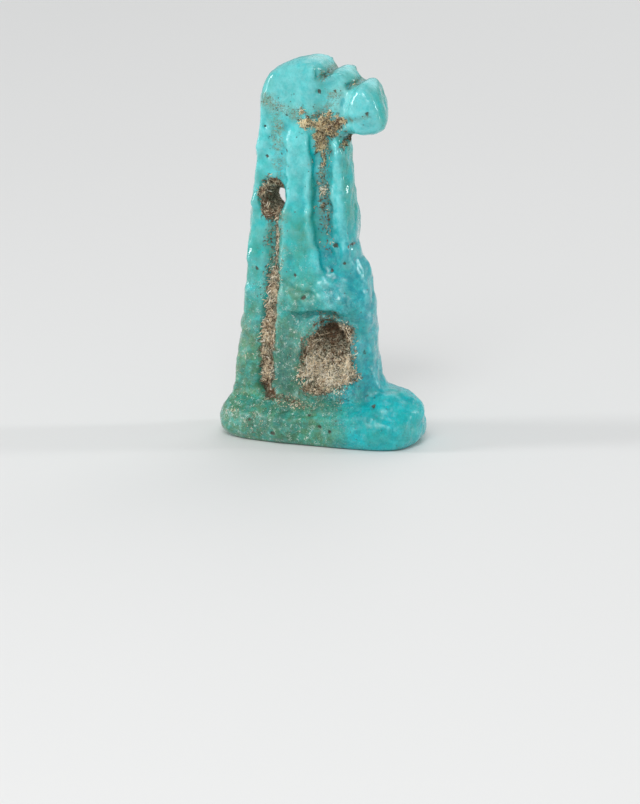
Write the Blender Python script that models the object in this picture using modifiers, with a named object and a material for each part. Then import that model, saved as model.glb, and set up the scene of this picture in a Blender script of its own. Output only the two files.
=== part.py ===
"""Faience amulet of Taweret, the standing hippopotamus goddess, as one fired solid.

The scene is in metres, +Z up. The figure faces -Y and stands on its own base at Z = 0, so its
right side is at -X. Its meshes are drawn in millimetres, and the empty that carries them scales
them to metres. Outlines hold (forward, up) in a side view, and stations hold what their comments
name; side means outwards from the middle plane, towards the figure's right.
"""

import math

import bmesh
import bpy
from mathutils import Matrix, Vector

METRES_PER_MILLIMETRE = 0.001

# Driving dimensions, in millimetres.
FIGURE_TOP = 37.15
BASE_HALF_WIDTH = 4.8
HEAD_HALF_WIDTH = 2.75
BROW_HALF_WIDTH = 1.95
CHEEK_HALF_WIDTH = 2.25
ARM_HALF_WIDTH = 2.75
HAND_HALF_WIDTH = 2.95
BREAST_HALF_WIDTH = 2.25
LEG_HALF_WIDTH = 2.65
INNER_LEG_HALF_WIDTH = 2.45
FOOT_CENTRE = (6.4, -0.2, 2.7)
FOOT_RADII = (3.8, 3.3, 2.8)
PILLAR_HALF_WIDTH = 2.2
WEB_HALF_WIDTH = 0.45
HOLE_RADIUS = 1.0
HOLE_FORWARD, HOLE_UP = -4.4, 23.4
# How far from the middle plane the arms and breasts start, the legs start, and the groove ends.
ARM_ROOT = 1.0
LEG_ROOT = 0.5
LEG_RIM = 0.5
GROOVE_FLOOR = 1.55
BORE_LENGTH = 8.0
# The mouth of the string hole at each side, as an ellipsoid: forward, side and up radii.
MOUTH_SIDE, MOUTH_UP = 2.3, 23.65
MOUTH_RADII = (1.25, 1.3, 1.85)
VOXEL = 0.3
SOFTENING_PASSES = 8
TRIANGLE_SHARE = 0.2

# Stations of the base: up, back, front, half width.
BASE = (
    (-0.8, -7.8, 8.0, 3.2),
    (0.0, -9.1, 9.3, 4.2),
    (0.5, -9.7, 9.8, 4.6),
    (1.1, -9.95, 9.95, BASE_HALF_WIDTH),
    (1.9, -9.9, 9.95, BASE_HALF_WIDTH),
    (2.6, -9.65, 9.75, 4.6),
    (3.2, -9.3, 9.45, 4.2),
    (3.8, -8.75, 8.95, 3.5),
    (4.3, -8.2, 8.2, 2.7),
)
# Stations of the legs, belly and torso, before carving: up, back, front, half width.
TORSO = (
    (2.5, -5.2, 7.4, 2.0),
    (4.6, -5.1, 6.5, 2.0),
    (5.9, -4.9, 5.85, 2.0),
    (7.6, -4.8, 5.55, 2.05),
    (10.6, -4.6, 5.3, 2.15),
    (13.6, -4.6, 5.2, 2.3),
    (15.9, -4.5, 5.0, 2.3),
    (17.1, -4.4, 4.5, 2.2),
    (18.1, -4.3, 3.65, 2.1),
    (19.3, -4.3, 3.3, 2.0),
    (22.8, -4.2, 2.95, 1.95),
    (25.8, -4.1, 2.65, 1.95),
    (28.9, -4.0, 2.35, 1.9),
    (32.0, -4.0, 2.3, 1.8),
)
# Stations of the back pillar and the fall of the wig above it: up, back, front, half width.
PILLAR = (
    (1.5, -9.1, -2.0, 2.5),
    (3.6, -8.9, -2.0, 2.45),
    (4.5, -8.6, -2.0, 2.4),
    (6.1, -8.4, -2.0, 2.35),
    (8.5, -8.1, -2.0, 2.3),
    (12.1, -7.8, -2.0, PILLAR_HALF_WIDTH),
    (16.8, -7.45, -2.0, PILLAR_HALF_WIDTH),
    (21.8, -6.95, -2.0, PILLAR_HALF_WIDTH),
    (25.8, -6.55, -2.0, PILLAR_HALF_WIDTH),
    (28.5, -6.3, -2.0, 2.3),
    (30.5, -6.0, -2.0, 2.5),
    (32.5, -5.75, -2.0, 2.6),
    (34.0, -5.35, -2.0, 2.5),
)
# Side-view outlines, as corners of a smooth closed curve.
WIG = (
    (-1.6, 30.3),
    (-3.8, 31.6),
    (-5.65, 32.3),
    (-5.75, 33.4),
    (-5.45, 34.7),
    (-4.75, 35.75),
    (-3.5, 36.5),
    (-1.4, FIGURE_TOP),
    (0.1, 37.05),
    (0.8, 35.9),
    (0.9, 33.5),
    (0.6, 31.3),
    (-0.4, 30.2),
)
BROW = (
    (-1.0, 33.2),
    (-0.6, 34.9),
    (0.5, 35.5),
    (1.3, 36.15),
    (2.1, 36.45),
    (2.85, 36.05),
    (3.2, 34.8),
    (3.1, 33.0),
)
CHEEK = (
    (-1.6, 30.6),
    (-1.6, 34.2),
    (1.0, 34.9),
    (2.9, 34.4),
    (3.9, 33.4),
    (4.3, 31.6),
    (3.6, 30.35),
    (1.0, 30.1),
)
MUZZLE = (
    (3.1, 30.6),
    (2.6, 32.2),
    (3.15, 34.2),
    (4.05, 35.25),
    (4.85, 35.0),
    (5.45, 33.8),
    (5.95, 32.0),
    (5.85, 30.85),
    (5.0, 30.15),
    (4.0, 30.05),
)
ARM = (
    (-1.9, 30.9),
    (-2.75, 30.3),
    (-3.05, 28.0),
    (-3.2, 25.0),
    (-3.3, 22.0),
    (-3.6, 18.5),
    (-3.95, 14.5),
    (-3.95, 13.1),
    (-2.6, 12.9),
    (0.8, 13.3),
    (1.3, 15.5),
    (0.7, 18.0),
    (0.25, 20.7),
    (0.0, 24.0),
    (-0.15, 28.0),
    (-0.6, 30.2),
)
BREAST = (
    (1.5, 30.6),
    (1.8, 28.4),
    (1.8, 26.0),
    (1.35, 22.4),
    (0.95, 18.8),
    (1.3, 17.0),
    (2.9, 16.6),
    (3.05, 19.0),
    (2.85, 22.5),
    (2.5, 26.0),
    (2.2, 28.4),
    (1.95, 30.6),
)
HAND = (
    (-2.9, 13.6),
    (-2.4, 15.2),
    (-0.6, 16.2),
    (1.8, 16.2),
    (3.3, 15.6),
    (3.9, 14.2),
    (3.3, 13.1),
    (0.5, 12.8),
    (-2.0, 12.9),
)
RIGHT_LEG = (
    (-3.9, 15.0),
    (-4.3, 10.5),
    (-4.75, 6.0),
    (-5.1, 3.2),
    (-0.6, 3.2),
    (-0.9, 5.0),
    (-1.05, 8.0),
    (-0.9, 11.0),
    (-0.3, 14.0),
)
RIGHT_LEG_INNER_SIDE = (
    (-3.9, 14.5),
    (-4.3, 10.5),
    (-4.75, 6.0),
    (-5.1, 3.2),
    (-3.3, 3.2),
    (-3.2, 6.0),
    (-2.9, 10.0),
    (-1.5, 14.5),
)
LEFT_LEG = (
    (1.3, 14.0),
    (1.4, 10.0),
    (1.5, 6.0),
    (1.3, 3.2),
    (6.7, 3.2),
    (5.7, 5.1),
    (4.95, 7.0),
    (4.7, 9.0),
    (4.55, 11.5),
    (4.4, 14.0),
)
# The groove between the back pillar and the body, from the string hole down to the base.
GROOVE = (
    (-4.0, 22.6),
    (-4.75, 21.0),
    (-5.0, 17.0),
    (-5.35, 13.0),
    (-5.55, 9.5),
    (-5.65, 6.5),
    (-5.5, 4.6),
    (-4.75, 4.6),
    (-4.4, 7.5),
    (-4.15, 11.0),
    (-3.9, 15.0),
    (-3.75, 19.0),
)
# The cavity beside the web, seen from the figure's right, and the one on its left.
RIGHT_CAVITY = (
    (-1.0, 4.6),
    (-1.1, 8.0),
    (-0.8, 10.4),
    (0.1, 11.7),
    (1.4, 12.1),
    (2.8, 11.7),
    (3.6, 10.3),
    (3.8, 8.0),
    (3.9, 4.6),
    (1.6, 4.3),
)
LEFT_CAVITY = (
    (-3.6, 4.6),
    (-3.5, 8.0),
    (-3.0, 10.6),
    (-2.0, 12.0),
    (-0.8, 12.3),
    (0.4, 11.6),
    (1.0, 9.8),
    (1.3, 7.0),
    (1.5, 4.6),
    (-1.0, 4.3),
)


def clear_scene():
    for item in list(bpy.data.objects):
        bpy.data.objects.remove(item, do_unlink=True)


def place(forward, side, up):
    """The scene point that lies this far forward, to the figure's right and up."""
    return Vector((-side, -forward, up))


def smooth_loop(corners, steps=4):
    """Points of the closed Catmull-Rom curve through the corners."""
    count = len(corners)
    points = []
    for index in range(count):
        a, b, c, d = (Vector(corners[(index + shift) % count]) for shift in (-1, 0, 1, 2))
        for step in range(steps):
            t = step / steps
            blend = 2 * b + (c - a) * t + (2 * a - 5 * b + 4 * c - d) * t**2
            points.append((blend + (3 * b - a - 3 * c + d) * t**3) / 2)
    return points


def add_object(name, mesh_data, collection, origin):
    """Puts a bmesh into a new wire-drawn helper object that belongs to the figure."""
    bmesh.ops.recalc_face_normals(mesh_data, faces=mesh_data.faces)
    mesh = bpy.data.meshes.new(name)
    mesh_data.to_mesh(mesh)
    mesh_data.free()
    made = bpy.data.objects.new(name, mesh)
    collection.objects.link(made)
    made.parent = origin
    made.hide_render = True
    made.display_type = "WIRE"
    return made


def round_rims(made, width):
    """Rounds the sharp rims of a slab."""
    bevel = made.modifiers.new("rounded_rims", "BEVEL")
    bevel.width = width
    bevel.segments = 3
    bevel.limit_method = "ANGLE"
    bevel.angle_limit = math.radians(50)
    bevel.use_clamp_overlap = False


def slab(name, corners, sides, rim, collection, origin):
    """A plate with a smooth side-view outline, between two distances from the middle plane."""
    shape = bmesh.new()
    inner, outer = sides
    ring = [shape.verts.new(place(p.x, inner, p.y)) for p in smooth_loop(corners)]
    face = shape.faces.new(ring)
    grown = bmesh.ops.extrude_face_region(shape, geom=[face])
    moved = [item for item in grown["geom"] if isinstance(item, bmesh.types.BMVert)]
    bmesh.ops.translate(shape, verts=moved, vec=place(0, outer - inner, 0))
    made = add_object(name, shape, collection, origin)
    if rim:
        round_rims(made, rim)
    return made


def squircle(power, count=40):
    """Points of a rounded square: cosine and sine, each raised to 2 / power."""
    points = []
    for index in range(count):
        angle = 2 * math.pi * (index + 0.5) / count
        x, y = math.cos(angle), math.sin(angle)
        points.append(
            (
                math.copysign(abs(x) ** (2 / power), x),
                math.copysign(abs(y) ** (2 / power), y),
            )
        )
    return points


def tower(name, stations, power, collection, origin):
    """A closed loft through level rounded-square sections."""
    shape = bmesh.new()
    rings = []
    for up, back, front, half_width in stations:
        middle, half_length = (front + back) / 2, (front - back) / 2
        rings.append(
            [
                shape.verts.new(place(middle + half_length * u, half_width * v, up))
                for u, v in squircle(power)
            ]
        )
    for low, high in zip(rings, rings[1:]):
        for index in range(len(low)):
            after = (index + 1) % len(low)
            shape.faces.new((low[index], low[after], high[after], high[index]))
    shape.faces.new(rings[0])
    shape.faces.new(rings[-1])
    return add_object(name, shape, collection, origin)


def egg(name, centre, radii, collection, origin):
    """A sphere stretched to its forward, side and up radii."""
    shape = bmesh.new()
    bmesh.ops.create_uvsphere(shape, u_segments=32, v_segments=20, radius=1.0)
    forward, side, up = radii
    bmesh.ops.scale(shape, vec=(side, forward, up), verts=shape.verts)
    bmesh.ops.translate(shape, vec=place(*centre), verts=shape.verts)
    return add_object(name, shape, collection, origin)


def shape_body(forms, origin):
    """The torso with its belly, the back pillar and the base."""
    tower("torso", TORSO, 4.0, forms, origin)
    tower("pillar", PILLAR, 7.0, forms, origin)
    tower("base", BASE, 3.8, forms, origin)


def plate(name, corners, half_width, rim, forms, origin):
    """A slab that runs right across the figure."""
    slab(name, corners, (-half_width, half_width), rim, forms, origin)


def shape_head(forms, origin):
    """The wig, the brow, the cheeks and the blunt muzzle, each a step lower than the last."""
    plate("wig", WIG, HEAD_HALF_WIDTH, 1.2, forms, origin)
    plate("brow", BROW, BROW_HALF_WIDTH, 0.6, forms, origin)
    plate("cheek", CHEEK, CHEEK_HALF_WIDTH, 0.8, forms, origin)
    plate("muzzle", MUZZLE, HEAD_HALF_WIDTH, 1.4, forms, origin)


def shape_arms(forms, origin):
    """On each side the hanging arm, the hand on the belly and the long breast."""
    for name, way in (("right", 1), ("left", -1)):
        for limb, corners, half_width, rim in (
            ("_arm", ARM, ARM_HALF_WIDTH, 0.9),
            ("_hand", HAND, HAND_HALF_WIDTH, 0.8),
            ("_breast", BREAST, BREAST_HALF_WIDTH, 0.45),
        ):
            sides = (way * ARM_ROOT, way * half_width)
            slab(name + limb, corners, sides, rim, forms, origin)


def shape_legs(forms, origin):
    """The right leg behind, and the left leg with its foot in front."""
    right, left = (LEG_ROOT, LEG_HALF_WIDTH), (-LEG_HALF_WIDTH, -LEG_ROOT)
    inner = (-INNER_LEG_HALF_WIDTH, -LEG_ROOT)
    slab("right_leg", RIGHT_LEG, right, LEG_RIM, forms, origin)
    slab("right_leg_inner_side", RIGHT_LEG_INNER_SIDE, inner, LEG_RIM, forms, origin)
    slab("left_leg", LEFT_LEG, left, LEG_RIM, forms, origin)
    egg("left_foot", FOOT_CENTRE, FOOT_RADII, forms, origin)


def carve_cavities(cutters, origin):
    """The hollow on each side of the web."""
    for name, corners, way in (("right", RIGHT_CAVITY, 1), ("left", LEFT_CAVITY, -1)):
        sides = (way * WEB_HALF_WIDTH, way * BASE_HALF_WIDTH)
        slab(name + "_cavity", corners, sides, 0, cutters, origin)


def cut_grooves(cutters, origin):
    """The groove on each side that sets the back pillar off from the body."""
    for name, way in (("right", 1), ("left", -1)):
        sides = (way * GROOVE_FLOOR, way * BASE_HALF_WIDTH)
        slab(name + "_groove", GROOVE, sides, 0, cutters, origin)


def drill_hole(cutters, origin):
    """The string hole from side to side, and the mouth that a string wore taller on each side."""
    bore = bmesh.new()
    bmesh.ops.create_cone(
        bore,
        cap_ends=True,
        segments=24,
        radius1=HOLE_RADIUS,
        radius2=HOLE_RADIUS,
        depth=BORE_LENGTH,
    )
    bmesh.ops.transform(bore, matrix=Matrix.Rotation(math.pi / 2, 4, "Y"), verts=bore.verts)
    bmesh.ops.translate(bore, vec=place(HOLE_FORWARD, 0, HOLE_UP), verts=bore.verts)
    add_object("string_hole", bore, cutters, origin)
    for name, way in (("right", 1), ("left", -1)):
        centre = (HOLE_FORWARD, way * MOUTH_SIDE, MOUTH_UP)
        egg(name + "_mouth", centre, MOUTH_RADII, cutters, origin)


def cut_floor(cutters, origin):
    """The block that levels the underside at Z = 0."""
    block = bmesh.new()
    bmesh.ops.create_cube(block, size=FIGURE_TOP)
    bmesh.ops.translate(block, vec=(0, 0, -FIGURE_TOP / 2), verts=block.verts)
    return add_object("floor", block, cutters, origin)


def glaze():
    """Turquoise faience glaze."""
    made = bpy.data.materials.new("turquoise_faience")
    made.use_nodes = True
    shader = made.node_tree.nodes["Principled BSDF"]
    shader.inputs["Base Color"].default_value = (0.09, 0.50, 0.48, 1.0)
    shader.inputs["Roughness"].default_value = 0.35
    shader.inputs["Metallic"].default_value = 0.0
    return made


def gather(forms):
    """Gives the first form the meshes of all of them, each with its rounded rims."""
    bpy.context.view_layer.update()
    graph = bpy.context.evaluated_depsgraph_get()
    whole = bmesh.new()
    for form in forms.objects:
        whole.from_mesh(bpy.data.meshes.new_from_object(form.evaluated_get(graph)))
    gathered = bpy.data.meshes.new("taweret_amulet")
    whole.to_mesh(gathered)
    whole.free()
    return gathered


def fuse(body, cutters, floor):
    """Joins the forms, carves them, melts the edges as a thick glaze does, and levels the foot."""
    add_skin(body, "join_forms", VOXEL)
    carve = body.modifiers.new("carve", "BOOLEAN")
    carve.operation = "DIFFERENCE"
    carve.operand_type = "COLLECTION"
    carve.collection = cutters
    carve.solver = "EXACT"
    add_skin(body, "even_out", VOXEL)
    melt = body.modifiers.new("melt", "SMOOTH")
    melt.factor = 0.5
    melt.iterations = SOFTENING_PASSES
    thin = body.modifiers.new("thin_out", "DECIMATE")
    thin.ratio = TRIANGLE_SHARE
    level = body.modifiers.new("level", "BOOLEAN")
    level.operation = "DIFFERENCE"
    level.object = floor
    level.solver = "EXACT"


def add_skin(body, name, voxel):
    """Replaces overlapping shells by one closed skin of small even faces."""
    skin = body.modifiers.new(name, "REMESH")
    skin.mode = "VOXEL"
    skin.voxel_size = voxel


def centre_on_base(body, origin):
    """Moves the whole figure so that the middle of its box is on the Z axis."""
    bpy.context.view_layer.update()
    evaluated = body.evaluated_get(bpy.context.evaluated_depsgraph_get())
    corners = [body.matrix_world @ Vector(corner) for corner in evaluated.bound_box]
    for axis in range(2):
        low = min(corner[axis] for corner in corners)
        high = max(corner[axis] for corner in corners)
        origin.location[axis] -= (low + high) / 2


def main():
    clear_scene()
    scene = bpy.context.scene
    amulet, forms, cutters = (
        bpy.data.collections.new(name) for name in ("faience_amulet", "forms", "cutters")
    )
    leveller = bpy.data.collections.new("leveller")
    for collection in (amulet, forms, cutters, leveller):
        scene.collection.children.link(collection)
    origin = bpy.data.objects.new("figure_origin", None)
    origin.scale = (METRES_PER_MILLIMETRE,) * 3
    amulet.objects.link(origin)
    shape_body(forms, origin)
    shape_head(forms, origin)
    shape_arms(forms, origin)
    shape_legs(forms, origin)
    carve_cavities(cutters, origin)
    cut_grooves(cutters, origin)
    drill_hole(cutters, origin)
    floor = cut_floor(leveller, origin)
    body = bpy.data.objects.new("taweret_amulet", gather(forms))
    amulet.objects.link(body)
    body.parent = origin
    body.data.materials.append(glaze())
    fuse(body, cutters, floor)
    centre_on_base(body, origin)


main()
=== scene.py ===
"""Faience amulet of the hippopotamus goddess Taweret, worn and dirty, on a plain stage.

Lengths inside the shaping functions are millimetres in the figure's own directions: forward (the
way it faces), side (towards its right) and up. The finished meshes are in metres, +Z up, facing -Y.
"""

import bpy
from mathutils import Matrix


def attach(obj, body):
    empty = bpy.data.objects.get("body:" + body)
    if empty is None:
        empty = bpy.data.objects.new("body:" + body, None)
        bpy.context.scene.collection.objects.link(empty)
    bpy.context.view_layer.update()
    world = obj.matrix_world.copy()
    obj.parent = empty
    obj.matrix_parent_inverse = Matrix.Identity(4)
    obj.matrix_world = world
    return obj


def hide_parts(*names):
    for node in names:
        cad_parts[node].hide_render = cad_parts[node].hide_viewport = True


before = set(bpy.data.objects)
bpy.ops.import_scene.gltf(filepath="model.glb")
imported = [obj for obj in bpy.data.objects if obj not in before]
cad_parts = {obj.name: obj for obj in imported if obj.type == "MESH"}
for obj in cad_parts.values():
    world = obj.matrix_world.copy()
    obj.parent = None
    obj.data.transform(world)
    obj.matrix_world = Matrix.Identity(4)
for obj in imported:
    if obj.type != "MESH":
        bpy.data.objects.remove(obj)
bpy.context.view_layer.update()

import math

import bmesh
import bpy
import numpy as np
from bpy.props import FloatProperty, FloatVectorProperty, IntProperty, PointerProperty
from mathutils import Vector

bl_info = {
    "name": "Faience amulet",
    "version": (1, 0, 0),
    "blender": (4, 5, 0),
    "location": "3D View > Sidebar > Amulet",
    "description": "Builds a worn turquoise faience amulet with burial dirt, and a plain stage",
    "category": "Object",
}

NODE = "taweret_amulet"
MILLIMETRE = 0.001

# The arched recess of each flank: its middle, half width, foot and top in millimetres.
RIGHT_RECESS = (1.3, 2.45, 4.5, 12.1)
LEFT_RECESS = (-1.05, 2.5, 4.4, 12.4)

# Places and paths on the figure, as (forward, up) in millimetres.
RECESS_SLANT = ((-1.5, 8.2), (0.9, 12.5))
GROOVE_LINE = (
    (-3.95, 22.0), (-4.0, 19.0), (-4.15, 17.0), (-4.45, 14.5),
    (-4.8, 11.0), (-5.0, 8.0), (-5.0, 5.6),
)
GROOVE_FOOT = ((-5.1, 6.6), (-4.9, 5.0), (-4.2, 4.3), (-3.2, 3.8), (-1.8, 3.6))
HOLE_CENTRE = (-4.45, 23.6)
CHEEK_CREASE = ((-1.2, 31.3), (0.2, 31.0), (1.6, 30.9), (2.4, 31.2))
CHEST_CHANNEL = ((0.35, 30.8), (0.25, 29.3))
CHANNEL_FLOOR = ((0.65, 29.8), (0.6, 26.0), (0.7, 23.0), (0.9, 20.5), (1.3, 17.6))
MOUTH_LINE = ((2.3, 31.4), (3.2, 31.75), (4.3, 31.9), (5.5, 32.3))
WIG_EDGE = ((-5.0, 33.3), (-3.6, 32.7), (-2.0, 32.0), (-0.4, 31.5), (1.2, 32.4), (1.7, 33.9))
WIG_FRONT = ((0.6, 34.5), (0.2, 35.2), (0.0, 36.0), (-0.1, 37.0))
WIG_NOTCH = ((1.2, 36.3), (0.85, 36.0), (0.5, 35.6))
BROW_RIDGE = ((0.6, 35.4), (1.6, 35.9), (2.5, 36.0))
BROW_NOTCH = ((4.1, 35.5), (3.6, 35.1), (3.1, 34.8))
MUZZLE_REAR = ((3.1, 31.5), (3.15, 32.7), (3.4, 33.6), (3.8, 34.4), (4.3, 35.1))
ARM_REAR = ((-3.5, 16.0), (-3.4, 20.0), (-3.3, 24.0), (-3.15, 28.0), (-2.9, 30.6))
ARM_FRONT = ((0.6, 17.0), (-0.1, 19.5), (-0.3, 21.5), (-0.45, 24.0), (-0.5, 27.0), (-0.6, 30.2))
BREAST_RIDGE = ((2.4, 29.0), (2.9, 26.5), (2.7, 24.0), (2.7, 21.5), (3.1, 19.0), (3.5, 17.8))
BREAST_REAR = ((1.6, 18.5), (1.35, 21.5), (1.4, 24.0), (1.8, 26.0), (1.6, 29.5))
BREAST_CLEFT = ((2.5, 24.7), (2.9, 24.0), (3.4, 23.2))
HAND_CREASE = ((-3.1, 15.6), (-2.2, 15.0), (-1.2, 14.7), (-0.4, 14.5))
HAND_FOOT = ((-2.3, 12.7), (-1.2, 12.55), (0.2, 12.6), (1.6, 12.95), (2.9, 12.7))
HAND_KNOBS = ((0.8, 14.35), (-0.5, 13.6), (2.3, 15.7), (3.1, 14.4), (1.7, 13.6), (0.9, 15.6))
EDGE_KNOBS = (
    (-0.65, 27.6), (-0.55, 25.2), (-0.5, 22.8), (-0.35, 20.7), (0.1, 18.3),
    (2.3, 28.2), (2.6, 25.6), (2.4, 21.2), (3.0, 18.5),
)
BASE_RIDGE = ((-8.8, 2.9), (-5.5, 2.6), (-2.0, 2.4), (2.0, 2.7), (5.5, 3.3))
PILLAR_TOP = ((-3.9, 31.5), (-3.8, 26.0))
CHEST_FRONT = ((3.0, 28.5), (3.5, 25.5), (3.6, 23.0))
HEEL_TOP = ((-9.2, 2.5), (-7.4, 2.9))

# Pits in the glaze of the right flank: forward, up and radius in millimetres.
PITS = (
    (0.3, 34.3, 0.2), (1.8, 34.4, 0.13), (-2.8, 31.8, 0.15), (2.4, 31.6, 0.15),
    (-5.1, 30.5, 0.14), (-2.8, 28.4, 0.14), (-5.0, 27.6, 0.2), (1.9, 19.4, 0.26),
    (2.9, 17.8, 0.14), (1.5, 16.9, 0.17), (-1.1, 14.2, 0.2), (-2.0, 16.3, 0.12),
    (-6.0, 16.6, 0.16), (-5.7, 10.4, 0.14), (-5.6, 6.9, 0.24), (3.4, 19.5, 0.15),
    (5.4, 32.6, 0.14), (-3.5, 1.1, 0.2), (-6.0, 2.2, 0.14), (1.1, 2.1, 0.22),
    (6.0, 4.1, 0.22), (2.2, 1.7, 0.13), (0.0, 3.1, 0.13), (-1.6, 31.4, 0.13),
)
PIT_DEPTH = 0.13

# How softly the dirt joins the sides of its hollow, and the shift between layers of noise.
FILL_EDGE = 0.14
LAYER_SHIFT = 17.3

# Rounds of easing: for the shape that sharpening works against, and for telling hollows.
SHARPENING_ROUNDS = 40
HOLLOW_ROUNDS = 14

# Strands: rings of points along each, points round each, and the ranges of their sizes in
# millimetres, of their turn in radians, and of their rise as a share of their length.
RINGS, SIDES = 5, 3
STRAND_LENGTHS = (0.2, 0.8)
STRAND_RADII = (0.023, 0.057)
STRAND_TURNS = (0.3, 3.0)
STRAND_TILTS = (-0.1, 0.4)
STRAND_LIFT = 0.02

# Colours beside those of the settings, as linear red, green and blue.
GREENER_TURQUOISE = (0.0, 0.48, 0.47)
MILKY_GLAZE = (0.34, 0.70, 0.66)
# White of the painted glints on the sandy lower body.
GLINT_WHITE = (0.92, 1.0, 0.93)
DARK_DOT = (0.045, 0.04, 0.022)
BROWN_FLECK = (0.10, 0.065, 0.032)
OLIVE_FLECK = (0.17, 0.2, 0.1)
GREEN_STAIN = (0.15, 0.25, 0.14)
GREY_SOIL = (0.06, 0.055, 0.035)
BROWN_SOIL = (0.085, 0.065, 0.038)
GREY_THREAD = (0.62, 0.58, 0.43)
BROWN_THREAD = (0.34, 0.25, 0.15)
# Near-black of the painted shade at the top of the recess.
RECESS_SHADE_COLOUR = (0.012, 0.022, 0.024)
OLIVE_FIBRE = (0.08, 0.07, 0.04)
BROWN_FIBRE = (0.17, 0.085, 0.04)
GREY_FIBRE = (0.40, 0.40, 0.29)
TAN_FIBRE = (0.48, 0.37, 0.24)
CREAM_FIBRE = (1.0, 0.93, 0.78)
OCHRE_TINT = (0.97, 0.90, 0.71)
BUMP_HEIGHT = 0.035 * MILLIMETRE

# Soft lights: azimuth and elevation in degrees, distance, width and height in metres, and watts.
LIGHTS = (
    ("left_light", -158, 16, 0.5, 0.08, 0.26, 1.1),
    ("right_light", 24, 18, 0.5, 0.05, 0.26, 0.65),
    ("key_light", -80, 50, 0.5, 0.06, 0.06, 0.22),
    ("fill_light", -80, 42, 0.5, 0.26, 0.26, 0.92),
    ("far_light", 90, 35, 0.6, 0.5, 0.5, 0.85),
)
LIGHT_TARGET = (0.0, 0.0, 18.0 * MILLIMETRE)
SKY_COLOUR = (0.97, 0.99, 1.0, 1.0)
SKY_STRENGTH = 0.43
FLOOR_CORNERS = 96
CAMERA_TARGET_HEIGHT = 3.35 * MILLIMETRE
CAMERA_TARGET_LEFT = 0.41 * MILLIMETRE
SENSOR_WIDTH = 36.0
CLIP_RANGE = (0.01, 20.0)


def length_setting(name, description, default, **limits):
    """A length, shown in the scene's own unit."""
    kind = {"subtype": "DISTANCE", "unit": "LENGTH"}
    return FloatProperty(name=name, description=description, default=default, **kind, **limits)


def angle_setting(name, description, degrees):
    """An angle, shown in degrees."""
    kind = {"default": math.radians(degrees), "subtype": "ANGLE", "unit": "ROTATION"}
    return FloatProperty(name=name, description=description, **kind)


def colour_setting(name, description, default):
    """A colour, as linear red, green and blue."""
    kind = {"size": 3, "subtype": "COLOR", "min": 0.0, "max": 1.0}
    return FloatVectorProperty(name=name, description=description, default=default, **kind)


class FigureSettings(bpy.types.PropertyGroup):
    """Sizes of the fired surface."""

    voxel: length_setting(
        "Skin grid",
        "Spacing of the fine skin that the figure is recast in",
        0.175 * MILLIMETRE,
        min=0.1 * MILLIMETRE,
    )
    softening: IntProperty(
        name="Softening rounds",
        description="How often the skin is eased towards its neighbours, as melted glaze is",
        default=8,
        min=0,
    )
    crispness: FloatProperty(
        name="Crispness",
        description="Share by which the modelled edges of the flanks are sharpened",
        default=0.9,
        min=0.0,
    )
    waviness: length_setting(
        "Waviness", "Height of the slow waves of the hand-pressed surface", 0.24 * MILLIMETRE
    )
    grain: length_setting("Grain", "Height of the sandy grain on the lower body", 0.06 * MILLIMETRE)
    crumb: length_setting("Crumb height", "Height of the crumbs of burial dirt", 0.16 * MILLIMETRE)
    strands: IntProperty(
        name="Strands", description="Number of curled strands of dirt", default=7000, min=1
    )
    strand_seed: IntProperty(
        name="Strand seed", description="Chooses where the strands fall", default=5
    )


class GlazeSettings(bpy.types.PropertyGroup):
    """Colours of the glaze and of the dirt on it; some of them also paint shade."""

    pale: colour_setting(
        "Pale glaze", "Thin smooth glaze of the head and arms", (0.155, 0.62, 0.63)
    )
    turquoise: colour_setting("Turquoise glaze", "The main colour of the body", (0.0, 0.53, 0.57))
    # In hollows this pooled blue is partly painted shade.
    blue: colour_setting(
        "Pooled glaze", "Thick glaze in hollows and on the front", (0.0, 0.30, 0.36)
    )
    green: colour_setting(
        "Weathered glaze", "Weathered glaze low on the back and base", (0.06, 0.24, 0.12)
    )
    # Painted shade: this dark glaze is painted beside the lower hollows, under the hand and in the
    # creases of the head, and is in part darker glaze.
    deep: colour_setting(
        "Soaked glaze", "Dark glaze beside the hollows of the lower body", (0.02, 0.15, 0.12)
    )
    sand: colour_setting("Pale dirt", "The light sandy part of the burial dirt", (0.95, 0.79, 0.55))
    # This dark earth also paints shade at the top of the recess.
    earth_and_shade: colour_setting("Dark dirt", "The brown earth deep in the hollows", (0.06, 0.042, 0.025))


class StageSettings(bpy.types.PropertyGroup):
    """The floor, the lights and the camera."""

    azimuth: angle_setting(
        "Camera azimuth", "Direction of the camera round the figure, from its front", -70.0
    )
    elevation: angle_setting("Camera elevation", "Height of the camera above the level", 14.5)
    distance: length_setting("Camera distance", "From the camera to the point it is aimed at", 0.53)
    lens: FloatProperty(
        name="Lens",
        description="Focal length",
        default=246.3,
        subtype="DISTANCE_CAMERA",
        unit="CAMERA",
    )
    floor_radius: length_setting("Floor radius", "Radius of the round floor", 2.0)
    floor_colour: colour_setting("Floor", "Colour of the plain pale floor", (0.77, 0.77, 0.765))


# Numbers over the surface.


def smooth(low, high, values):
    """0 up to low, 1 from high on, and the cubic 3t2 - 2t3 between; low may be above high."""
    t = np.clip((values - low) / (high - low), 0.0, 1.0)
    return t * t * (3.0 - 2.0 * t)


def lattice(cells, seed):
    """A steady random number from 0 to 1 for each whole-number cell.

    Its place and the seed, each times a large odd number, have their bits mixed.
    """
    x, y, z = (cells[:, axis].astype(np.int64) for axis in range(3))
    mixed = (x * 73856093) ^ (y * 19349663) ^ (z * 83492791) ^ (seed * 2654435761)
    mixed = (mixed ^ (mixed >> 13)) * 1274126177 & 0x7FFFFFFF
    mixed = (mixed ^ (mixed >> 11)) * 1103515245 & 0x7FFFFFFF
    return (mixed >> 7) / float(0x7FFFFFFF >> 7)


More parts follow.
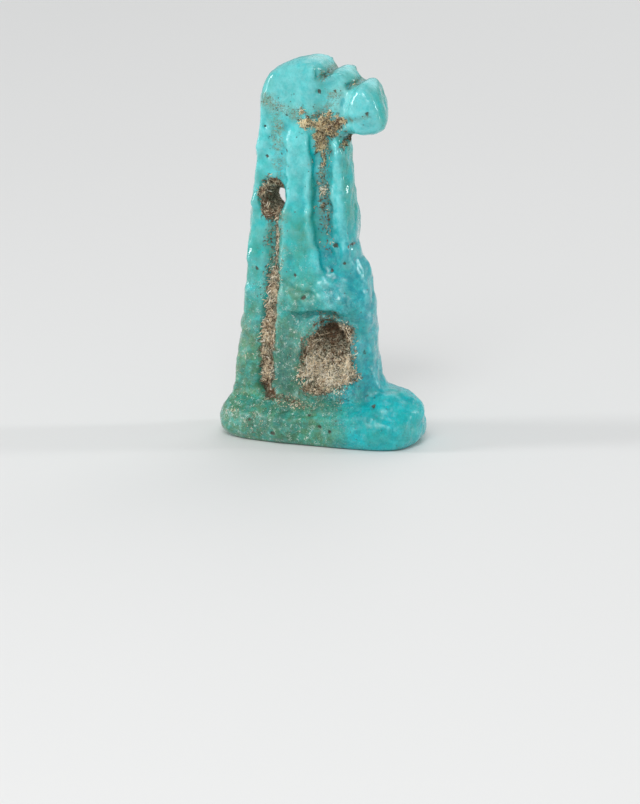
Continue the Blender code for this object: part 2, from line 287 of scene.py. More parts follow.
def noise(points, cell, seed):
    """Smooth noise from -1 to 1: lattice numbers at the corners of cubes, blended between them.

    The blend along each side, from t = 0 to 1, is 6t5 - 15t4 + 10t3.
    """
    scaled = points / cell
    base = np.floor(scaled).astype(np.int64)
    t = scaled - base
    t = t * t * t * (t * (t * 6.0 - 15.0) + 10.0)
    total = np.zeros(len(points))
    for corner in range(8):
        step = np.array([corner & 1, corner >> 1 & 1, corner >> 2 & 1])
        weight = np.prod(np.where(step, t, 1.0 - t), axis=1)
        total += weight * lattice(base + step, seed)
    return total * 2.0 - 1.0


def layered(points, cell, seed, layers=3):
    """Noise plus finer and fainter noise: each layer has half the cell and half the height."""
    total = np.zeros(len(points))
    height = 1.0
    whole = 0.0
    for layer in range(layers):
        total += height * noise(points + LAYER_SHIFT * layer, cell / 2**layer, seed + layer)
        whole += height
        height *= 0.5
    return total / whole


def highest(*values):
    """The largest of these values at each point."""
    return np.maximum.reduce(values)


class SideView:
    """Measures over the side view of some points, whose places are forward and up."""

    def __init__(self, forward, up):
        self.forward = forward
        self.up = up

    def distance(self, path):
        """Distance to the nearest of the straight pieces between the path's points."""
        nearest = np.full(len(self.forward), np.inf)
        for (a_forward, a_up), (b_forward, b_up) in zip(path, path[1:]):
            along = np.array([b_forward - a_forward, b_up - a_up])
            off_forward, off_up = self.forward - a_forward, self.up - a_up
            t = (off_forward * along[0] + off_up * along[1]) / (along @ along)
            t = np.clip(t, 0.0, 1.0)
            off = np.hypot(off_forward - t * along[0], off_up - t * along[1])
            nearest = np.minimum(nearest, off)
        return nearest

    def line(self, path, width):
        """1 on the path, falling as a bell curve of this width beside it."""
        return np.exp(-((self.distance(path) / width) ** 2))

    def spot(self, forward, up, forward_radius, up_radius):
        """1 at this place, falling as a bell curve of these forward and up radii."""
        forward_part = (self.forward - forward) / forward_radius
        up_part = (self.up - up) / up_radius
        return np.exp(-(forward_part**2 + up_part**2))

    def ahead_of(self, path):
        """How far forward of the path each point is, at its own height; the path climbs."""
        places, heights = zip(*path)
        return self.forward - np.interp(self.up, heights, places)


def steepened(offset, drop, soft, crisp=0.16):
    """Turns a soft step of this drop into a crisp one; the offset is positive on its high side."""
    return drop * (smooth(-crisp, crisp, offset) - smooth(-soft, soft, offset))


def arch_inside(forward, up, arch):
    """Distance in from the edge of an arched hollow: straight jambs, and a round head over them."""
    middle, half, foot, top = arch
    spring = top - half
    sideways = np.abs(forward - middle)
    jamb = half - sideways
    head = half - np.hypot(sideways, np.maximum(up - spring, 0.0))
    return np.minimum(np.minimum(jamb, head), up - foot)


def recess_inside(forward, side, up):
    """Distances in from the arched hollow's edge, and in from the edge of its dirt.

    On the right flank the dirt is cut off behind by a slanting straight line.
    """
    right = arch_inside(forward, up, RIGHT_RECESS)
    left = arch_inside(forward, up, LEFT_RECESS)
    (a_forward, a_up), (b_forward, b_up) = RECESS_SLANT
    length = math.hypot(b_forward - a_forward, b_up - a_up)
    slant = (forward - a_forward) * (b_up - a_up) - (up - a_up) * (b_forward - a_forward)
    dirt = np.where(side > 0, np.minimum(right, slant / length), left)
    return np.where(side > 0, right, left), dirt


# Objects and meshes.


def new_object(name, data):
    """An object of this data, linked to the scene at the origin."""
    made = bpy.data.objects.new(name, data)
    bpy.context.scene.collection.objects.link(made)
    return made


def mesh_arrays(mesh):
    """The points, the point normals and the edges of a mesh, as arrays."""
    points = np.empty(len(mesh.vertices) * 3)
    mesh.vertices.foreach_get("co", points)
    normals = np.empty(len(mesh.vertices) * 3)
    mesh.vertex_normals.foreach_get("vector", normals)
    edges = np.empty(len(mesh.edges) * 2, np.int64)
    mesh.edges.foreach_get("vertices", edges)
    return points.reshape(-1, 3), normals.reshape(-1, 3), edges.reshape(-1, 2)


def place_points(mesh, points):
    """Moves the mesh's points to these places."""
    mesh.vertices.foreach_set("co", points.astype(np.float32).ravel())
    mesh.update()


def relaxed(points, edges, rounds, share=0.5):
    """Each round moves every point this share of the way to the mean of its neighbours."""
    count = len(points)
    first, second = edges[:, 0], edges[:, 1]
    neighbours = np.bincount(edges.ravel(), minlength=count)
    points = points.copy()
    for _ in range(rounds):
        for axis in range(3):
            column = points[:, axis]
            total = np.bincount(first, column[second], count)
            total += np.bincount(second, column[first], count)
            points[:, axis] = column + share * (total / neighbours - column)
    return points


def recast_skin(voxel):
    """The frame's figure in millimetres, as one skin of small even squares."""
    source = bmesh.new()
    source.from_mesh(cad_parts[NODE].data)
    bmesh.ops.remove_doubles(source, verts=source.verts, dist=0.001 * MILLIMETRE)
    bmesh.ops.scale(source, vec=(1 / MILLIMETRE,) * 3, verts=source.verts)
    blank_mesh = bpy.data.meshes.new("blank")
    source.to_mesh(blank_mesh)
    source.free()
    blank = new_object("blank", blank_mesh)
    skin = blank.modifiers.new("skin", "REMESH")
    skin.mode = "VOXEL"
    skin.voxel_size = voxel / MILLIMETRE
    bpy.context.view_layer.update()
    graph = bpy.context.evaluated_depsgraph_get()
    mesh = bpy.data.meshes.new_from_object(blank.evaluated_get(graph))
    bpy.data.objects.remove(blank, do_unlink=True)
    bpy.data.meshes.remove(blank_mesh)
    return mesh


def triangles_of(mesh):
    """The numbers of the three points of each triangle of a mesh, in rows."""
    mesh.calc_loop_triangles()
    corners = np.empty(len(mesh.loop_triangles) * 3, np.int64)
    mesh.loop_triangles.foreach_get("vertices", corners)
    return corners.reshape(-1, 3)


def split_faces(mesh, wanted):
    """Divides each edge whose two ends are wanted, so that faces between such ends become four."""
    _, _, edges = mesh_arrays(mesh)
    chosen = np.flatnonzero(wanted[edges].all(axis=1))
    work = bmesh.new()
    work.from_mesh(mesh)
    work.edges.ensure_lookup_table()
    picked = [work.edges[index] for index in chosen.tolist()]
    bmesh.ops.subdivide_edges(work, edges=picked, cuts=1, use_grid_fill=True)
    work.to_mesh(mesh)
    work.free()


def write_attribute(mesh, name, values):
    """Stores a number from 0 to 1 with each point of the mesh."""
    made = mesh.attributes.new(name, "FLOAT", "POINT")
    made.data.foreach_set("value", np.clip(values, 0.0, 1.0).astype(np.float32))


# The figure.


def directions(points):
    """Forward, side and up of each point."""
    return -points[:, 1], -points[:, 0], points[:, 2]


def dirt_zones(points):
    """Where burial dirt lies, from 0 to 1, for each named hollow.

    It is 1 deep inside an arch or near a path, and falls over an edge made ragged by noise.
    """
    forward, side, up = directions(points)
    view = SideView(forward, up)
    spot = view.spot
    reach = np.abs(side)
    ragged = layered(points, 1.0, 11, 4)
    clump = layered(points, 0.62, 15, 3)
    _, inside = recess_inside(forward, side, up)
    inside = inside + 0.5 * spot(3.0, 11.3, 0.9, 0.9) + 0.6 * spot(3.9, 6.3, 0.8, 0.9)
    recess = smooth(-0.9, 0.7, inside + 1.3 * ragged) * smooth(3.6, 2.8, reach)
    recess *= smooth(4.5, 5.4, up - 0.43 * np.maximum(forward - 0.9, 0.0) + 0.8 * ragged)
    groove_width = 0.17 + 0.42 * smooth(18.0, 13.0, up)
    groove = smooth(1.5, 0.7, view.distance(GROOVE_LINE) / groove_width + 0.9 * ragged)
    foot = smooth(1.4, 0.5, view.distance(GROOVE_FOOT) / 0.5 + 1.2 * ragged)
    groove = np.maximum(groove, 0.75 * foot)
    groove *= smooth(1.0, 1.4, reach) * smooth(3.6, 2.9, reach)
    hole_off = np.hypot((forward - HOLE_CENTRE[0]) / 1.3, (up - HOLE_CENTRE[1]) / 1.75)
    hole = smooth(1.3, 0.9, hole_off + 0.4 * ragged) * smooth(-3.45, -3.8, forward)
    cheek_off = view.distance(CHEEK_CREASE) + 0.9 * spot(-1.5, 30.4, 0.8, 0.7)
    cheek = smooth(0.95, 0.1, cheek_off + 1.0 * ragged + 1.1 * clump) * smooth(1.0, 1.6, reach)
    channel_off = view.distance(CHEST_CHANNEL)
    channel = smooth(0.9, 0.1, channel_off + 0.9 * ragged + 1.1 * clump) * smooth(1.2, 1.7, reach)
    patches = sum(spot(0.45, height, 0.35, 0.4) for height in (28.0, 27.0, 24.6, 23.0))
    patches = smooth(0.45, 0.9, patches + 0.3 * ragged + 0.5 * clump)
    jaw = smooth(0.4, 0.8, spot(2.7, 29.4, 0.5, 0.8) + 0.3 * ragged)
    face = highest(cheek, channel, patches, jaw)
    return {"recess": recess, "groove": groove, "hole": hole, "face": face}


def pits_at(points):
    """1 in the middle of each pit, falling to 0 at its rim."""
    forward, side, up = directions(points)
    depth = np.zeros(len(points))
    uneven = 1.0 + 0.5 * noise(points, 0.22, 91)
    for pit_forward, pit_up, radius in PITS:
        off = np.hypot(forward - pit_forward, up - pit_up) / (radius * uneven)
        depth = np.maximum(depth, smooth(1.25, 0.55, off))
    return depth * smooth(0.5, 1.2, side)


def carve_relief(points):
    """Sideways height of the modelled ridges and creases, much the same on both flanks.

    The sum of bell curves along paths and at spots, of crisp steps along the edges of wig, arm
    and breast, and of the swell of the muzzle, 1 - exp(-x) times its height.
    """
    forward, side, up = directions(points)
    view = SideView(forward, up)
    spot, line = view.spot, view.line
    height = -0.16 * line(MOUTH_LINE, 0.28) - 0.12 * line(WIG_EDGE[3:], 0.3)
    crown = smooth(35.2, 35.9, up)
    height += steepened(-view.ahead_of(WIG_FRONT), 0.8, 1.0) * crown
    height -= 0.55 * line(WIG_NOTCH, 0.35) + 0.35 * line(BROW_NOTCH, 0.3)
    height += 0.28 * line(BROW_RIDGE, 0.32)
    snout = smooth(31.2, 32.2, up)
    ahead = np.maximum(view.ahead_of(MUZZLE_REAR), 0.0)
    height += 0.58 * (1.0 - np.exp(-ahead / 0.85)) * smooth(6.9, 5.4, forward) * snout
    height -= 0.35 * spot(2.5, 33.4, 0.6, 1.1)
    arm = smooth(16.2, 17.6, up) * smooth(31.2, 29.4, up + 0.4 * (forward + 1.7) ** 2)
    wander = 0.22 * noise(points, 1.1, 95)
    height += steepened(wander - view.ahead_of(ARM_FRONT), 0.85, 0.9, 0.26) * arm
    height += steepened(wander + view.ahead_of(ARM_REAR), 0.45, 0.9, 0.5) * arm
    height -= 0.25 * line(CHANNEL_FLOOR, 0.8) + 0.15 * line(ARM_REAR[2:], 0.4)
    height += 0.14 * line(ARM_FRONT, 0.35) + 0.25 * line(BREAST_RIDGE, 0.5)
    chest = smooth(18.0, 19.5, up) * smooth(29.5, 28.5, up)
    height += steepened(wander + view.ahead_of(BREAST_REAR), 0.3, 0.6, 0.35) * chest
    height += 0.12 * spot(-1.7, 28.6, 0.9, 1.8)
    height -= 0.3 * line(BREAST_CLEFT, 0.2)
    height -= 0.3 * line(HAND_CREASE, 0.35)
    for knob in HAND_KNOBS:
        height += 0.33 * spot(*knob, 0.6, 0.42)
    for knob in EDGE_KNOBS:
        height += 0.17 * spot(*knob, 0.5, 0.75)
    under = np.interp(forward, *zip(*HAND_FOOT)) - up
    undercut = 0.6 * smooth(-0.4, 0.4, under) * smooth(2.4, 0.3, under)
    height -= undercut * smooth(-3.4, -1.6, forward) * smooth(3.4, 1.6, forward)
    height -= 0.7 * spot(2.9, 11.3, 0.7, 0.8) * smooth(0.0, 1.0, side)
    height += 0.22 * line(BASE_RIDGE, 0.35)
    return height


def shape_surface(points, normals, settings):
    """The fired surface: ridges, waves, lumps and grain along the normal, and a level underside."""
    forward, _, up = directions(points)
    view = SideView(forward, up)
    flank = smooth(0.35 + 0.2 * smooth(33.5, 35.0, up), 0.9, np.abs(normals[:, 0]))
    height = carve_relief(points) * flank
    crest = 0.2 * view.spot(5.2, 34.9, 1.15, 1.2)
    crest -= 0.22 * view.spot(3.85, 35.2, 0.35, 1.0)
    crest -= 0.2 * view.spot(1.1, 36.2, 0.35, 1.0)
    height += crest * smooth(0.2, 0.7, normals[:, 2])
    wave = layered(points, 2.6, 3, 2) + 0.8 * layered(points, 1.1, 5, 2)
    calm = 0.4 + 0.6 * smooth(33.0, 29.0, up)
    height += settings.waviness / MILLIMETRE * wave * calm
    sandy = smooth(20.0, 8.0, up) * 0.8 + 0.2
    height += settings.grain / MILLIMETRE * sandy * layered(points, 0.5, 7, 2)
    height -= PIT_DEPTH * pits_at(points)
    level = smooth(0.0, 0.9, up)
    shaped = points + normals * (height * level)[:, None]
    shaped[:, 2] = np.maximum(shaped[:, 2], 0.0)
    return shaped


def widened_bore(points):
    """Pushes the wall of the string hole outward from its axis, and its rear side inward, caked."""
    forward, side, up = directions(points)
    off_forward, off_up = forward - HOLE_CENTRE[0], up - HOLE_CENTRE[1]
    away = np.maximum(np.hypot(off_forward, off_up), 0.5)
    push = 0.2 * smooth(2.2, 1.0, away) / away
    caked = 0.5 * smooth(-0.1, -0.9, off_forward) * smooth(2.3, 1.2, np.abs(side))
    points = points.copy()
    points[:, 1] -= push * off_forward + caked * smooth(2.0, 1.3, away)
    points[:, 2] += push * off_up
    return points


def askew(points):
    """Draws the front of muzzle, brow and chest forward, in proportion towards the right flank."""
    forward, side, up = directions(points)
    share = 0.25 * smooth(3.9, 5.6, forward) * smooth(29.0, 30.0, up)
    share += 0.12 * smooth(0.8, 2.3, forward) * smooth(16.5, 19.0, up) * smooth(30.5, 28.0, up)
    share += 0.15 * smooth(1.8, 3.2, forward) * smooth(34.9, 35.4, up) * smooth(36.7, 36.2, up)
    points = points.copy()
    points[:, 1] -= share * np.maximum(side + 2.0, 0.0)
    return points


def crumbs_at(points):
    """Crumbs of dirt: where a twisted smooth noise is near its middle value."""
    twist = np.stack([noise(points, 0.5, seed) for seed in (51, 52, 53)], axis=1)
    bent = points + 0.22 * twist
    first = np.abs(noise(bent, 0.42, 61))
    second = np.abs(noise(bent + 9.0, 0.34, 62))
    return np.maximum(smooth(0.28, 0.0, first), smooth(0.22, 0.0, second))


def fill_hollows(points, normals, zones, settings):
    """Raises the floor of each hollow to its dirt: the larger of side and fill, softly joined.

    The soft larger of a and b, over an edge e, is b + e ln(1 + exp((a - b) / e)).
    """
    forward, side, up = directions(points)
    crumb = settings.crumb / MILLIMETRE
    rough = 0.9 * crumbs_at(points) + 0.8 * layered(points, 0.8, 21, 3)
    reach = np.abs(side)
    slope = np.interp(up, (4.0, 6.0, 9.0, 11.0, 12.5), (2.75, 2.25, 1.6, 1.0, 0.4))
    slope += 0.5 * SideView(forward, up).spot(-0.9, 8.0, 0.6, 2.5)
    in_arch, in_dirt = recess_inside(forward, side, up)
    slope += 1.6 * smooth(1.1, -0.3, in_dirt) * smooth(6.0, 9.5, up)
    recess_fill = slope + crumb * rough * smooth(-0.8, 0.2, in_dirt)
    groove_fill = 1.95 + crumb * (rough - 0.3)
    hole_fill = 1.75 - 1.2 * smooth(-4.6, -4.15, forward) + crumb * rough
    floors = (
        (recess_fill, smooth(-1.2, -0.5, in_arch)),
        (groove_fill, smooth(0.05, 0.4, zones["groove"])),
        (hole_fill, smooth(0.1, 0.5, zones["hole"]) * smooth(0.9, 1.3, reach)),
    )
    filled = reach
    for level, share in floors:
        raised = level + FILL_EDGE * np.logaddexp(0.0, (filled - level) / FILL_EDGE)
        filled = filled + (raised - filled) * share
    moved = points.copy()
    moved[:, 0] = -np.sign(side) * filled
    crust = np.maximum(zones["hole"] * 0.5 * smooth(1.2, 1.6, reach), zones["face"])
    lift = crust * crumb * (rough * 1.3 + 0.2)
    return moved + normals * lift[:, None]


def hollow_measure(points, normals, edges):
    """How hollow the surface is at each point: how far well-eased points lie above it."""
    return ((relaxed(points, edges, HOLLOW_ROUNDS) - points) * normals).sum(axis=1)


def build_figure(settings):
    """The recast skin, eased, sharpened, shaped, filled with dirt, and given its attributes."""
    mesh = recast_skin(settings.voxel)
    points, normals, edges = mesh_arrays(mesh)
    points = relaxed(points, edges, settings.softening)
    flank = smooth(0.4, 0.9, np.abs(normals[:, 0])) * smooth(3.6, 4.6, points[:, 2])
    carried = points - relaxed(points, edges, SHARPENING_ROUNDS)
    points = points + settings.crispness * flank[:, None] * carried
    place_points(mesh, askew(widened_bore(points)))
    points, _, _ = mesh_arrays(mesh)
    dirt = highest(*dirt_zones(points).values())
    split_faces(mesh, (dirt > 0.2) | (pits_at(points) > 0))
    points, normals, _ = mesh_arrays(mesh)
    points = shape_surface(points, normals, settings)
    zones = dirt_zones(points)
    place_points(mesh, fill_hollows(points, normals, zones, settings))
    points, normals, edges = mesh_arrays(mesh)
    hollow = hollow_measure(points, normals, edges)
    add_marks(mesh, points, normals, zones, hollow)
    place_points(mesh, points * MILLIMETRE)
    mesh.shade_smooth()
    return mesh


def add_marks(mesh, points, normals, zones, hollow):
    """Point attributes that the glaze material reads, each from 0 to 1.

    They are sums and products of soft steps over height and depth, bell curves and noise.
    """
    forward, side, up = directions(points)
    view = SideView(forward, up)
    spot, line = view.spot, view.line
    drift = layered(points, 4.0, 41, 3)
    patch = layered(points, 1.6, 43, 3)
    # Faces turned to the front, above the legs. They are painted greener and less pale as painted
    # shade, and their coat is dulled.
    front = smooth(0.35, 0.9, -normals[:, 1]) * smooth(18.0, 24.0, up)
    marks = {
        "dirt": highest(*zones.values()),
        "pits": pits_at(points),
        "specks": smooth(0.05, 0.9, dirty_halo(points)),
        # Near-black painted shade in the upper front corner of the recess.
        "recess_shade": spot(2.6, 11.5, 0.8, 0.6),
    }
    # Dark earth: dirt at the foot and top of the groove, under the jaw and in the hole, and painted
    # shade at the top of the recess.
    marks["earth_and_shade"] = highest(
        zones["recess"] * smooth(8.3, 10.6, up + 1.2 * patch - 0.25 * forward),
        zones["groove"] * smooth(6.8, 5.2, up + 0.8 * patch) * 1.2,
        zones["groove"] * smooth(15.0, 20.0, up) * 0.3,
        zones["face"] * spot(2.7, 29.4, 0.8, 1.2),
        zones["hole"] * 0.35,
    )
    # Paler soil and sandy threads: painted light low in the recess, and lighter dirt in the groove,
    # on the face and in the hole.
    marks["pale_soil_and_light"] = highest(
        zones["recess"] * smooth(7.4, 5.2, up + 0.7 * patch),
        zones["groove"] * smooth(19.0, 14.0, up) * smooth(5.4, 7.0, up) * 0.6,
        zones["face"] * 0.8,
        zones["hole"] * 0.5,
    )
    blue = 0.8 * smooth(-0.5, 4.0, forward) * smooth(26.0, 15.0, up)
    blue = blue * (0.4 + 0.6 * smooth(3.6, 5.5, up)) + 0.3 * drift
    blue += 0.15 * line(CHANNEL_FLOOR, 0.9) * smooth(30.0, 24.0, up)
    # Hollows turn to the darker pooled blue: partly thick pooled glaze, partly painted shade.
    marks["blue"] = blue + smooth(0.01, 0.07, hollow) * 0.5
    green = smooth(17.0, 4.0, up) * smooth(5.5, -3.5, forward) + 0.35 * patch
    green += 0.5 * smooth(4.6, 3.6, up) * smooth(5.0, 2.0, forward)
    green += 0.5 * spot(-1.2, 20.0, 1.2, 3.0) + 0.4 * spot(-1.6, 14.8, 2.0, 1.4)
    green -= 0.6 * spot(-1.7, 26.5, 1.8, 4.0)
    green += 0.35 * smooth(27.0, 20.0, up) * smooth(1.0, -1.5, forward)
    green += 0.05 * smooth(6.5, 4.5, up) * smooth(1.5, 4.5, forward)
    green += 0.25 * smooth(5.0, 3.5, up) * smooth(-1.0, -4.5, forward)
    # Faces turned to the front are painted greener: painted shade.
    marks["green"] = green + 0.4 * front
    level = smooth(0.4, 0.15, np.abs(normals[:, 0]))
    crown = smooth(0.2, 0.7, normals[:, 2] - 0.5 * normals[:, 1]) * smooth(32.0, 34.0, up)
    shoulder = 1.5 * spot(-2.8, 30.3, 1.8, 1.8) + 0.8 * spot(-5.2, 34.2, 1.0, 2.0)
    shoulder += 0.9 * spot(2.8, 33.4, 0.5, 1.5)
    shoulder += 0.5 * smooth(5.5, 4.0, up) * smooth(2.0, 5.0, forward)
    ledge = 0.9 * smooth(0.35, 0.8, normals[:, 2]) * smooth(7.0, 5.0, up)
    marks["dull"] = highest(front * level, crown * level, shoulder, ledge)
    milky = 0.85 * spot(2.4, 33.5, 0.8, 1.4) + 0.35 * spot(-3.5, 32.8, 2.0, 1.0)
    marks["milky"] = milky * (0.8 + 0.6 * patch)
    # Painted shade on the legs round the recess, under the hand and low on the base.
    low_shade = highest(
        0.95 * spot(-2.9, 7.0, 1.9, 4.6) + 0.8 * spot(0.8, 12.3, 2.6, 0.6),
        0.8 * spot(-0.5, 3.9, 3.5, 0.7),
        0.45 * spot(-4.0, 1.8, 3.0, 1.9),
    )
    low_shade = np.maximum(low_shade + 0.3 * patch, 0.9 * spot(3.2, 10.6, 0.9, 2.2))
    # Dark glaze: mostly painted shade, beside the lower hollows, in the notches of the head, under
    # the jaw and along the mouth; in part darker glaze.
    marks["deep"] = highest(
        low_shade * smooth(0.9, 1.6, np.abs(side)),
        0.65 * spot(0.95, 36.2, 0.65, 0.5),
        0.55 * spot(3.75, 35.4, 0.4, 0.4),
        0.7 * spot(3.0, 29.6, 0.5, 0.8),
        0.1 * smooth(32.0, 33.5, up) * smooth(1.5, -0.5, forward),
        0.35 * line(MOUTH_LINE, 0.25),
    )
    pale = smooth(18.0, 33.0, up) + 0.5 * drift * smooth(4.0, 8.0, up)
    pale += smooth(0.0, -0.05, hollow) * (0.2 + 0.4 * smooth(5.0, 12.0, up))
    # A paler cheek, and faces turned to the front painted less pale as painted shade.
    pale += 0.6 * spot(2.6, 33.6, 0.9, 1.0) - 0.7 * front
    pale += 0.8 * spot(1.8, 14.8, 1.6, 1.0) + 0.25 * spot(-1.7, 26.5, 1.8, 4.0)
    marks["pale"] = pale
    sandy = smooth(22.0, 9.0, up + 3.0 * patch) * (0.35 + 0.65 * smooth(6.5, 1.5, forward))
    marks["sandy"] = sandy
    # Painted glints: how often white curls stand for glints of light on the sandy grain.
    painted_glint = 0.25 + 0.5 * smooth(4.5, -1.0, forward)
    painted_glint += 0.15 * spot(-2.6, 8.0, 2.0, 4.0) + 0.5 * spot(0.5, 14.6, 3.5, 1.3)
    painted_glint += 0.4 * smooth(4.5, 3.0, up) * smooth(3.0, -1.0, forward)
    marks["painted_glint"] = sandy * painted_glint
    for name, values in marks.items():
        write_attribute(mesh, name, values)


def dirty_halo(points):
    """How near each point is to lying dirt, for the specks scattered round it."""
    forward, _, up = directions(points)
    view = SideView(forward, up)
    spot, line = view.spot, view.line
    near = highest(
        line(WIG_EDGE, 1.0),
        line(PILLAR_TOP, 1.0) * 0.9,
        line(GROOVE_LINE, 1.3) * (0.8 + 0.3 * smooth(13.0, 16.0, up)),
        line(CHANNEL_FLOOR, 0.8) * 1.1 * smooth(15.0, 23.0, up),
        line(CHEST_FRONT, 0.6) * 0.7,
        line(MOUTH_LINE, 0.3) * 0.8,
        line(WIG_NOTCH, 0.5) * 1.5 + line(BROW_NOTCH, 0.4) * 1.3,
        spot(0.4, 31.2, 2.6, 1.3),
        spot(1.7, 32.8, 0.5, 1.2) * 0.5,
        spot(0.9, 7.2, 3.4, 4.6) * 1.1,
        spot(-2.2, 4.1, 3.6, 0.9) + line(HEEL_TOP, 0.25) * 1.2,
    )
    body = 0.3 * smooth(26.0, 10.0, up) + 0.2 * smooth(-3.0, -4.5, forward) * smooth(30.0, 26.0, up)
    return np.maximum(near, body) * (0.75 + 0.6 * layered(points, 0.9, 71, 3))


# The strands of dirt.


def strand_weights(points):
    """How thickly strands lie at each point, and how light they are.

    Both follow powers and shares of the dirt zones, with soft steps over the height and noise.
    """
    forward, side, up = directions(points)
    view = SideView(forward, up)
    zones = dirt_zones(points)
    patch = layered(points, 1.3, 81, 3)
    low = smooth(11.4, 6.2, up + 0.6 * patch)
    recess = zones["recess"] ** 1.5 * (0.26 + 0.46 * low)
    groove = zones["groove"] ** 2 * (0.24 + 0.46 * smooth(17.6, 14.8, up + patch))
    crumbled = smooth(-5.5, -4.2, forward) * smooth(-3.6, -3.9, forward)
    crumbled = crumbled * smooth(22.5, 21.0, up) * smooth(13.0, 15.0, up)
    groove = np.maximum(groove, 0.22 * crumbled * smooth(0.0, 0.5, patch + 0.2))
    chest = 0.1 * view.line(CHANNEL_FLOOR, 0.6) * smooth(18.0, 23.0, up)
    face = np.maximum(zones["face"] ** 1.5 * 0.7, chest)
    hole = zones["hole"] * 0.7 * smooth(1.4, 1.7, side)
    strewn = 0.15 * np.clip(dirty_halo(points) - 0.45, 0.0, 1.0) ** 2
    weight = (highest(recess, groove, face, hole) + strewn) * (0.75 + 0.9 * patch)
    weight = np.clip(weight, 0.0, None) * smooth(0.2, 0.6, side) * smooth(0.5, 1.0, up)
    # Strands low in the recess are lighter and those near its top darker: painted light and painted
    # shade.
    tone = highest(zones["recess"] * low * 0.82, zones["groove"] * 0.52, zones["face"] * 0.6)
    tone += 0.3 * view.spot(3.3, 11.0, 0.5, 0.9)
    crumbly = 1.1 * layered(points, 0.55, 83, 2) * zones["face"]
    tone += 0.8 * patch * (1.0 - 0.5 * zones["groove"]) + crumbly
    tone *= 1.0 - 0.95 * smooth(6.4, 4.8, up + 0.4 * patch) * smooth(0.6, -1.0, forward)
    tone *= 1.0 - 0.7 * view.spot(2.7, 29.4, 0.8, 1.2)
    return weight, tone * (1.0 - 0.5 * zones["hole"]) + 0.2 * zones["hole"]


def tube_points(place, out, along, length, turn, thick, tilt):
    """Points of one tube for each place, by strand, ring and side.

    The middle line is (sin a, 1 - cos a) times its radius, for a from 0 to its turn, in the plane
    square to out, and rises by its tilt. The rings stand square to the line, and their size
    follows the sine of the way along it, so both ends taper.
    """
    beside = np.cross(out, along)
    radius = length / turn
    t = np.linspace(0.0, 1.0, RINGS)
    a = turn[:, None] * t
    local = np.stack([np.sin(a), 1.0 - np.cos(a)], axis=2) * radius[:, None, None]
    rise = length[:, None] * tilt[:, None] * (t - 0.25) * (1.0 - 0.4 * t)
    centre = place[:, None] + local[:, :, :1] * along[:, None] + local[:, :, 1:] * beside[:, None]
    centre += (rise + STRAND_LIFT)[:, :, None] * out[:, None]
    ahead = np.cos(a)[:, :, None] * along[:, None] + np.sin(a)[:, :, None] * beside[:, None]
    first = np.cross(ahead, out[:, None])
    taper = thick[:, None] * np.sin(np.pi * (0.12 + 0.76 * t))
    spin = np.arange(SIDES) * (2.0 * np.pi / SIDES)
    ring = np.cos(spin)[:, None] * first[:, :, None] + np.sin(spin)[:, None] * out[:, None, None]
    return centre[:, :, None] + ring * taper[:, :, None, None]


def tube_faces(count):
    """The triangles of this many closed tubes: two for each square of the wall, and one per end."""
    low = np.arange(RINGS - 1)[:, None] * SIDES + np.arange(SIDES)
    turned = np.arange(RINGS - 1)[:, None] * SIDES + (np.arange(SIDES) + 1) % SIDES
    quads = np.stack([low, low + SIDES, turned + SIDES, turned], axis=2).reshape(-1, 4)
    last = (RINGS - 1) * SIDES
    caps = np.array([[0, 1, 2], [last + 2, last + 1, last]])
    one = np.concatenate([quads[:, [0, 1, 2]], quads[:, [0, 2, 3]], caps])
    return (one + np.arange(count)[:, None, None] * RINGS * SIDES).reshape(-1, 3)


def strand_mesh(figure, settings):
    """Short curled tubes thrown at random over the dirty faces, each with a tone of its own.

    A face's chance of a strand is its area times its weight.
    """
    random = np.random.default_rng(settings.strand_seed)
    points, _, _ = mesh_arrays(figure)
    corners = points[triangles_of(figure)] / MILLIMETRE
    middles = corners.mean(axis=1)
    across = np.cross(corners[:, 1] - corners[:, 0], corners[:, 2] - corners[:, 0])
    area = np.linalg.norm(across, axis=1)
    weight, tone = strand_weights(middles)
    chance = weight * area
    count = settings.strands
    chosen = random.choice(len(middles), count, p=chance / chance.sum())
    thick_set = np.clip(weight[chosen] / 0.5, 0.0, 1.0)
    calm = smooth(25.0, 27.0, middles[chosen, 2])
    out = across[chosen] / area[chosen, None]
    shares = random.dirichlet((1.0, 1.0, 1.0), count)
    place = (corners[chosen] * shares[:, :, None]).sum(axis=1)
    along = np.cross(out, random.normal(size=(count, 3)))
    along /= np.linalg.norm(along, axis=1)[:, None]
    length = random.uniform(*STRAND_LENGTHS, count) * (0.55 + 0.45 * thick_set)
    length *= 1.0 - 0.3 * calm
    turn = random.uniform(*STRAND_TURNS, count)
    thick = random.uniform(*STRAND_RADII, count) * (1.0 - 0.1 * calm)
    tilt = random.uniform(*STRAND_TILTS, count)
    shell = tube_points(place, out, along, length, turn, thick, tilt)
    faces = tube_faces(count)
    mesh = bpy.data.meshes.new("dirt_strands")
    mesh.vertices.add(shell.size // 3)
    mesh.loops.add(faces.size)
    mesh.polygons.add(len(faces))
    mesh.loops.foreach_set("vertex_index", faces.ravel().astype(np.int32))
    mesh.polygons.foreach_set("loop_start", np.arange(0, faces.size, 3, dtype=np.int32))
    place_points(mesh, shell.reshape(-1, 3) * MILLIMETRE)
    mesh.validate()
    shades = tone[chosen] + random.normal(0.0, 0.35, count) * (1.0 + 0.5 * calm)
    write_attribute(mesh, "tone", np.repeat(shades, RINGS * SIDES))
    mesh.shade_smooth()
    return mesh


# Materials.


